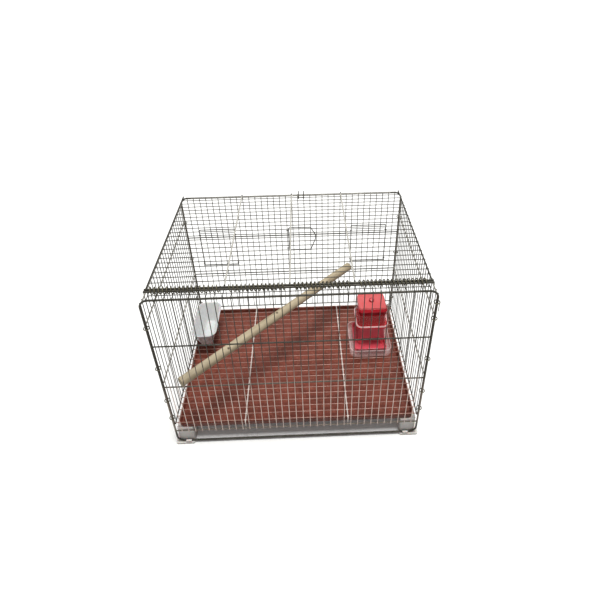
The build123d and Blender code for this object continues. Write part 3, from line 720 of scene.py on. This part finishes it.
# Painted shade: the lid's plate is a darker copy of the lid's red, for the shade on it.
PLATE_RED_PAINTED_SHADE = replace(
    LID_RED, name="red_lid_plate_painted_shade", base=colour(168, 20, 34), cloud=colour(142, 10, 24),
    speck=colour(190, 36, 50), subsurface=0.0, coat=0.0, specular=0.15, zones=(),
)
WHITE = Finish(
    "white_tub_plastic", Slot.WHITE, colour(222, 223, 222), colour(210, 211, 210), colour(232, 233, 232),
    smooth=0.2, rough=0.35, bump=0.03, subsurface=0.2, alpha=0.82,
)
WOOD = WoodFinish()


# Meshes


@dataclass
class Station:
    """One ring of a moulding's profile: a rounded rectangle about the Z axis."""

    width: float
    length: float
    corner: float
    height: float

    def points(self, steps: int) -> list[Vector]:
        """The ring's points.

        Args:
            steps: Points on each corner.

        Returns:
            The points, counterclockwise.
        """
        points = []
        for quarter, (side_x, side_y) in enumerate(((1, 1), (-1, 1), (-1, -1), (1, -1))):
            centre_x = side_x * (self.width / 2 - self.corner)
            centre_y = side_y * (self.length / 2 - self.corner)
            for step in range(steps):
                angle = math.pi / 2 * (quarter + step / (steps - 1))
                x = centre_x + self.corner * math.cos(angle)
                y = centre_y + self.corner * math.sin(angle)
                points.append(Vector((x, y, self.height)))
        return points


@dataclass
class Skin:
    """A closed skin lofted through rings, with its ends capped or joined to each other."""

    stations: list[Station]
    centre: tuple[float, float] = (0.0, 0.0)
    looped: bool = False
    corner_steps: int = 8

    def add_to(self, shape: bmesh.types.BMesh) -> None:
        """Adds the skin to a shape.

        Args:
            shape: The shape that gets the skin's faces.
        """
        shift = Vector((self.centre[0], self.centre[1], 0))
        rings = []
        for station in self.stations:
            rings.append([shape.verts.new(point + shift) for point in station.points(self.corner_steps)])
        pairs = list(zip(rings[:-1], rings[1:]))
        if self.looped:
            pairs.append((rings[-1], rings[0]))
        count = len(rings[0])
        for low, high in pairs:
            for index in range(count):
                after = (index + 1) % count
                shape.faces.new((low[index], low[after], high[after], high[index]))
        if not self.looped:
            shape.faces.new(list(reversed(rings[0])))
            shape.faces.new(rings[-1])

    def build(self, name: str, place: Vector) -> bpy.types.Object:
        """Makes an object of this skin alone.

        Args:
            name: The object's name.
            place: Where it stands.

        Returns:
            The new object.
        """
        shape = bmesh.new()
        self.add_to(shape)
        return finish_mesh(shape, name, place)


@dataclass
class OpenShell:
    """Sizes of an open-topped moulding with rounded corners, tapered walls and a rolled rim."""

    wall: float
    edge: float
    base_corner: float
    rim_corner: float
    taper: float = 0.0
    lip: float = 0.0
    lip_height: float = 0.0

    def stations(self, width: float, length: float, height: float) -> list[Station]:
        """The rings, from the underside up the outside and down the inside to the floor.

        Args:
            width: Overall size along X, over the lip.
            length: Overall size along Y, over the lip.
            height: Overall height.

        Returns:
            The rings in order.
        """
        rim_width = width - 2 * self.lip
        rim_length = length - 2 * self.lip

        def at(level: float, shrink: float) -> Station:
            """The ring at a level.

            Args:
                level: Height over the underside.
                shrink: How far it is drawn in from the outer wall.

            Returns:
                The ring.
            """
            share = level / height
            draw = 2 * self.taper * (1 - share) + 2 * shrink
            corner = self.base_corner + (self.rim_corner - self.base_corner) * share - shrink
            return Station(rim_width - draw, rim_length - draw, max(corner, self.edge), level)

        edge = self.edge
        rings = [at(0, 4 * edge), at(edge / 3, edge / 2), at(edge, 0)]
        if self.lip:
            low = height - self.lip_height
            rings += [
                at(low - edge / 2, 0),
                at(low, -edge / 2),
                at(low, edge / 2 - self.lip),
                at(low + edge / 2, -self.lip),
            ]
        rings += [
            at(height - edge, -self.lip),
            at(height, edge - self.lip),
            at(height, self.wall - edge / 2),
            at(height - edge / 2, self.wall),
            at(self.wall + 3 * edge, self.wall),
            at(self.wall + edge, self.wall + edge),
            at(self.wall, self.wall + 4 * edge),
        ]
        return rings


def finish_mesh(shape: bmesh.types.BMesh, name: str, place: Vector) -> bpy.types.Object:
    """Turns a finished shape into a smooth object.

    Args:
        shape: The shape, which is freed.
        name: The object's name.
        place: Where the object stands.

    Returns:
        The new object.
    """
    bmesh.ops.recalc_face_normals(shape, faces=shape.faces)
    mesh = bpy.data.meshes.new(name)
    shape.to_mesh(mesh)
    shape.free()
    mesh.shade_smooth()
    mesh.set_sharp_from_angle(angle=SHARP_ANGLE)
    piece = bpy.data.objects.new(name, mesh)
    piece.location = place
    bpy.context.scene.collection.objects.link(piece)
    return piece


@dataclass(frozen=True)
class SoftEdges:
    """A small rounding of a piece's sharp edges."""

    width: float
    segments: int = 2
    angle: float = math.radians(40)

    def apply(self, piece: bpy.types.Object) -> None:
        """Adds the rounding to a piece.

        Args:
            piece: The object.
        """
        bevel = piece.modifiers.new("soft_edges", "BEVEL")
        bevel.width = self.width
        bevel.segments = self.segments
        bevel.limit_method = "ANGLE"
        bevel.angle_limit = self.angle
        bevel.harden_normals = False


def node_box(node: str) -> tuple[Vector, Vector, Vector]:
    """A CAD node's lowest corner, highest corner and middle."""
    low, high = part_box(node)
    return low, high, (low + high) / 2


# Sub-assemblies


@dataclass
class Dresser:
    """Gives pieces their finishes, puts new pieces on their bodies and hides the nodes that they stand for.
    """

    groups: ShaderGroups
    made: dict[str, bpy.types.Material] = field(default_factory=dict)

    def material_of(self, finish: Finish | WoodFinish) -> bpy.types.Material:
        """The finish's material, made on first use.

        Args:
            finish: The finish.

        Returns:
            Its material.
        """
        if finish.name not in self.made:
            self.made[finish.name] = finish.material(self.groups)
        return self.made[finish.name]

    def dress_node(self, node: str, finish: Finish | WoodFinish) -> None:
        """Gives a CAD node its finish.

        Args:
            node: The node's name.
            finish: Its finish.
        """
        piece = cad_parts[node]
        piece.data.materials.clear()
        piece.data.materials.append(self.material_of(finish))
        LOG.info("dressed %s with %s", node, finish.name)

    def dress_piece(self, piece: bpy.types.Object, finish: Finish, part: Part, node: str) -> None:
        """Gives a new piece its finish and body, and hides the CAD node that it stands for.

        Args:
            piece: The piece.
            finish: Its finish.
            part: The body that it rides on.
            node: The CAD node that it replaces.
        """
        piece.data.materials.append(self.material_of(finish))
        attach(piece, part.value)
        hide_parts(node)
        LOG.info("made %s on %s", piece.name, part.value)


@dataclass
class WireWork:
    """All welded and bent wires of the cage."""

    dresser: Dresser
    nodes: dict[str, Finish] = field(default_factory=lambda: {
        "rear_panel": NEAR_ZINC,
        "front_panel": FRONT_ZINC,
        "left_panel": SIDE_ZINC,
        "right_panel": SIDE_ZINC,
        "roof_panel": ROOF_ZINC,
        "roof_latch": ZINC,
        "left_door": ZINC,
        "right_door": ZINC,
        "centre_door": ZINC,
        "floor_net": NET_ZINC_PAINTED_REFLECTION,
        "roof_hinge_spirals": DARK_WIRE,
        "corner_rings": DARK_WIRE,
        "side_hook": DARK_WIRE,
    })

    def build(self) -> None:
        """Dresses every wire node."""
        for node, finish in self.nodes.items():
            self.dresser.dress_node(node, finish)


@dataclass
class ShellPiece:
    """An open-topped moulding that stands for one CAD node and takes its overall size from it."""

    dresser: Dresser
    node: str
    finish: Finish
    part: Part
    sizes: OpenShell

    def build(self) -> None:
        """Makes and dresses the moulding."""
        low, high, middle = node_box(self.node)
        size = high - low
        skin = Skin(self.sizes.stations(size.x, size.y, size.z))
        piece = skin.build(self.node + "_moulding", Vector((middle.x, middle.y, low.z)))
        self.dresser.dress_piece(piece, self.finish, self.part, self.node)


@dataclass
class TrayAssembly:
    """The brown tray with its rounded lip."""

    dresser: Dresser
    sizes: OpenShell = field(default_factory=lambda: OpenShell(
        wall=1.8 * MM, edge=0.6 * MM, base_corner=9.0 * MM, rim_corner=9.0 * MM, lip=1.5 * MM,
        lip_height=1.6 * MM,
    ))

    def build(self) -> None:
        """Makes the tray."""
        ShellPiece(self.dresser, "tray", BROWN, Part.TRAY, self.sizes).build()


@dataclass
class PerchAssembly:
    """The pale wooden perch."""

    dresser: Dresser
    edges: SoftEdges = SoftEdges(0.5 * MM)

    def build(self) -> None:
        """Dresses the perch."""
        self.dresser.dress_node("perch", WOOD)
        self.edges.apply(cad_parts["perch"])


@dataclass
class FeetAssembly:
    """The four milky corner feet."""

    dresser: Dresser
    nodes: tuple[str, ...] = ("foot_rear_left", "foot_rear_right", "foot_front_left", "foot_front_right")
    edges: SoftEdges = SoftEdges(0.4 * MM)

    def build(self) -> None:
        """Dresses the feet and rounds their edges."""
        for node in self.nodes:
            self.dresser.dress_node(node, MILKY)
            self.edges.apply(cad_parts[node])


@dataclass
class FeederAssembly:
    """The seed feeder: clear dish, red liner, red seed box, clear sleeve and red lid."""

    dresser: Dresser
    dish: OpenShell = field(default_factory=lambda: OpenShell(
        wall=1.8 * MM, edge=0.7 * MM, base_corner=13.0 * MM, rim_corner=13.0 * MM,
    ))
    liner: OpenShell = field(default_factory=lambda: OpenShell(
        wall=1.6 * MM, edge=0.6 * MM, base_corner=8.0 * MM, rim_corner=8.0 * MM,
    ))
    sleeve_wall: float = 2.2 * MM
    sleeve_corner: float = 12.0 * MM
    edge: float = 0.6 * MM
    lid_corner: float = 7.5 * MM
    lid_wall: float = 1.5 * MM
    lid_skirt: float = 5.0 * MM
    lid_plate: float = 3.0 * MM
    step_length: float = 45.5 * MM
    step_height: float = 3.5 * MM
    knob_diameter: float = 11.0 * MM
    knob_height: float = 4.0 * MM
    knob_dish: float = 0.9 * MM

    def build(self) -> None:
        """Makes and dresses the feeder's pieces."""
        ShellPiece(self.dresser, "feeder_dish", CLEAR_DISH, Part.FEEDER, self.dish).build()
        ShellPiece(self.dresser, "feeder_liner", RED, Part.FEEDER, self.liner).build()
        self.dresser.dress_node("feeder_hopper", DEEP_RED)
        SoftEdges(self.edge).apply(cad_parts["feeder_hopper"])
        self.build_sleeve()
        self.build_lid()

    def build_sleeve(self) -> None:
        """The clear band round the seed box."""
        low, high, middle = node_box("feeder_sleeve")
        size = high - low

        def at(level: float, shrink: float) -> Station:
            """A ring of the band, drawn in from its outer size."""
            return Station(size.x - 2 * shrink, size.y - 2 * shrink, self.sleeve_corner - shrink, level)

        edge = self.edge
        wall = self.sleeve_wall
        rings = [
            at(0, edge), at(edge, 0), at(size.z - edge, 0), at(size.z, edge),
            at(size.z, wall - edge), at(size.z - edge, wall), at(edge, wall), at(0, wall - edge),
        ]
        sleeve = Skin(rings, looped=True).build("feeder_sleeve_band", Vector((middle.x, middle.y, low.z)))
        self.dresser.dress_piece(sleeve, CLEAR_SLEEVE, Part.FEEDER, "feeder_sleeve")

    def build_lid(self) -> None:
        """The lid: a skirted plate, a raised rear part and a round dished knob."""
        low, high, middle = node_box("feeder_lid")
        size = high - low
        edge = self.edge
        top = self.lid_skirt + self.lid_plate

        def at(level: float, shrink: float) -> Station:
            """A ring of the plate, drawn in from its outer size."""
            return Station(size.x - 2 * shrink, size.y - 2 * shrink, self.lid_corner - shrink, level)

        plate = Skin([
            at(self.lid_skirt, self.lid_wall + 4 * edge), at(self.lid_skirt, self.lid_wall + edge),
            at(self.lid_skirt - edge, self.lid_wall), at(edge / 2, self.lid_wall),
            at(0, self.lid_wall - edge / 2), at(0, edge / 2), at(edge / 2, 0), at(top - 2 * edge, 0),
            at(top - edge / 2, edge / 2), at(top, 2 * edge), at(top, 6 * edge),
        ])
        step_middle = size.y / 2 - self.lid_wall - self.step_length / 2
        step_top = top + self.step_height

        def step(level: float, shrink: float) -> Station:
            """A ring of the raised part.

            Args:
                level: Height over the lid's underside.
                shrink: How far it is drawn in from the part's outer size.

            Returns:
                The ring.
            """
            width = size.x - 2 * self.lid_wall - 2 * shrink
            length = self.step_length - 2 * shrink
            return Station(width, length, self.lid_corner - self.lid_wall - shrink, level)

        raised = Skin([
            step(top - edge, edge), step(top, -edge), step(top + edge, 0),
            step(step_top - 2 * edge, 0), step(step_top - edge / 2, edge / 2),
            step(step_top, 2 * edge), step(step_top, 5 * edge),
        ], (0.0, step_middle))
        knob_top = step_top + self.knob_height

        def knob(level: float, shrink: float) -> Station:
            """A ring of the knob."""
            across = self.knob_diameter - 2 * shrink
            return Station(across, across, across / 2, level)

        button = Skin([
            knob(step_top - edge, 0), knob(step_top + edge, 0), knob(knob_top - edge, 0),
            knob(knob_top - edge / 3, edge / 3), knob(knob_top, edge), knob(knob_top, 2.5 * edge),
            knob(knob_top - self.knob_dish, 4 * edge), knob(knob_top - self.knob_dish, 6 * edge),
        ], (0.0, step_middle))
        place = Vector((middle.x, middle.y, low.z))
        base = plate.build("feeder_lid_plate", place)
        self.dresser.dress_piece(base, PLATE_RED_PAINTED_SHADE, Part.LID, "feeder_lid")
        shape = bmesh.new()
        for skin in (raised, button):
            skin.add_to(shape)
        top_part = finish_mesh(shape, "feeder_lid_top", place)
        self.dresser.dress_piece(top_part, LID_RED, Part.LID, "feeder_lid")


@dataclass
class TubAssembly:
    """The white tapered tub with its thick rim."""

    dresser: Dresser
    sizes: OpenShell = field(default_factory=lambda: OpenShell(
        wall=2.0 * MM, edge=0.7 * MM, base_corner=10.0 * MM, rim_corner=15.0 * MM, taper=13.0 * MM,
        lip=2.0 * MM, lip_height=2.0 * MM,
    ))

    def build(self) -> None:
        """Makes the tub."""
        ShellPiece(self.dresser, "white_tub", WHITE, Part.TUB, self.sizes).build()


# Studio


@dataclass
class Studio:
    """The pale floor, the soft light and the camera at the photograph's viewing angle."""

    floor_size: float = 14.0
    floor_seen: float = 1.0
    floor_lift: float = 0.03
    floor_bounce: float = 0.3
    floor_warmth: float = 0.98
    key_strength: float = 3.1
    key_spread: float = math.radians(18)
    key_place: tuple[float, float, float] = (0.15, -0.12, 2.2)
    sky_strength: float = 0.3
    focal_pixels: float = 464.02
    centre_pixels: tuple[float, float] = (315.19, 214.54)
    camera_place: tuple[float, float, float] = (0.0267, -0.6824, 0.84575)
    camera_right: tuple[float, float, float] = (0.9993, -0.03494, -0.01352)
    camera_down: tuple[float, float, float] = (-0.03012, -0.53454, -0.84461)
    camera_forward: tuple[float, float, float] = (0.02228, 0.84442, -0.53522)
    sensor: float = 36.0
    near_clip: float = 0.05
    far_clip: float = 50.0

    def build(self) -> None:
        """Makes floor, light, sky and camera."""
        self.make_floor()
        self.make_sky()
        self.make_key()
        self.make_camera()
        LOG.info("studio ready")

    def seen_and_lighting(self, graph: Graph, lit: bpy.types.NodeSocket,
                          white: bpy.types.NodeSocket) -> bpy.types.NodeSocket:
        """Shows one shader to camera, glossy and transmission rays, and another to all others.

        Args:
            graph: The tree being filled.
            lit: What other rays see, which lights the cage.
            white: What these rays see.

        Returns:
            The mixed shader's socket.
        """
        path = graph.add("ShaderNodeLightPath")
        rays = graph.math("MAXIMUM", path.outputs["Is Camera Ray"], path.outputs["Is Glossy Ray"])
        rays = graph.math("MAXIMUM", rays, path.outputs["Is Transmission Ray"])
        mix = graph.add("ShaderNodeMixShader")
        graph.join(rays, mix.inputs[0])
        graph.join(lit, mix.inputs[1])
        graph.join(white, mix.inputs[2])
        return mix.outputs[0]

    def make_floor(self) -> None:
        """A large pale floor that takes the cage's shadow."""
        mesh = bpy.data.meshes.new("floor")
        half = self.floor_size / 2
        corners = [(-half, -half, 0), (half, -half, 0), (half, half, 0), (-half, half, 0)]
        mesh.from_pydata(corners, [], [tuple(range(len(corners)))])
        floor = bpy.data.objects.new("floor", mesh)
        bpy.context.scene.collection.objects.link(floor)
        material = bpy.data.materials.new("floor_white")
        material.use_nodes = True
        graph = Graph(material.node_tree)
        output = graph.add("ShaderNodeOutputMaterial")
        shades = []
        for level in (self.floor_bounce, self.floor_seen):
            shader = graph.add("ShaderNodeBsdfDiffuse")
            shader.inputs["Color"].default_value = (level, level, level * self.floor_warmth, 1.0)
            shades.append(shader.outputs[0])
        lift = graph.add("ShaderNodeEmission")
        lift.inputs["Strength"].default_value = self.floor_lift
        lifted = graph.add("ShaderNodeAddShader")
        graph.join(shades[1], lifted.inputs[0])
        graph.join(lift.outputs[0], lifted.inputs[1])
        graph.join(self.seen_and_lighting(graph, shades[0], lifted.outputs[0]), output.inputs["Surface"])
        floor.data.materials.append(material)

    def make_sky(self) -> None:
        """An even white sky."""
        world = bpy.data.worlds.new("sky")
        bpy.context.scene.world = world
        world.use_nodes = True
        graph = Graph(world.node_tree)
        output = graph.add("ShaderNodeOutputWorld")
        lit = graph.add("ShaderNodeBackground")
        lit.inputs["Strength"].default_value = self.sky_strength
        white = graph.add("ShaderNodeBackground")
        for shader in (lit, white):
            shader.inputs["Color"].default_value = (1.0, 1.0, 1.0, 1.0)
        graph.join(self.seen_and_lighting(graph, lit.outputs[0], white.outputs[0]), output.inputs["Surface"])

    def make_key(self) -> None:
        """One even soft lamp nearly overhead."""
        lamp = bpy.data.lights.new("key", "SUN")
        lamp.energy = self.key_strength
        lamp.angle = self.key_spread
        key = bpy.data.objects.new("key", lamp)
        key.location = self.key_place
        key.rotation_mode = "QUATERNION"
        key.rotation_quaternion = (-Vector(self.key_place)).to_track_quat("-Z", "Y")
        bpy.context.scene.collection.objects.link(key)

    def make_camera(self) -> None:
        """The camera that was fitted to the photograph."""
        lens = bpy.data.cameras.new("camera")
        lens.sensor_width = self.sensor
        lens.lens = self.focal_pixels * self.sensor / PHOTO_SIZE
        lens.shift_x = 0.5 - self.centre_pixels[0] / PHOTO_SIZE
        lens.shift_y = self.centre_pixels[1] / PHOTO_SIZE - 0.5
        lens.clip_start = self.near_clip
        lens.clip_end = self.far_clip
        camera = bpy.data.objects.new("camera", lens)
        right = Vector(self.camera_right)
        up = -Vector(self.camera_down)
        back = -Vector(self.camera_forward)
        turn = Matrix((right, up, back)).transposed().to_4x4()
        camera.matrix_world = Matrix.Translation(self.camera_place) @ turn
        bpy.context.scene.collection.objects.link(camera)
        bpy.context.scene.camera = camera


def main() -> None:
    """Builds the cage's looks and the studio in order."""
    logging.basicConfig(level=logging.INFO, format="%(message)s")
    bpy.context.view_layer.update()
    bpy.context.scene.view_settings.view_transform = "Standard"
    groups = ShaderGroups()
    groups.build()
    dresser = Dresser(groups)
    assemblies = (
        WireWork(dresser),
        TrayAssembly(dresser),
        PerchAssembly(dresser),
        FeetAssembly(dresser),
        FeederAssembly(dresser),
        TubAssembly(dresser),
    )
    for assembly in assemblies:
        assembly.build()
        LOG.info("%s done", type(assembly).__name__)
    Studio().build()


if __name__ == "__main__":
    main()
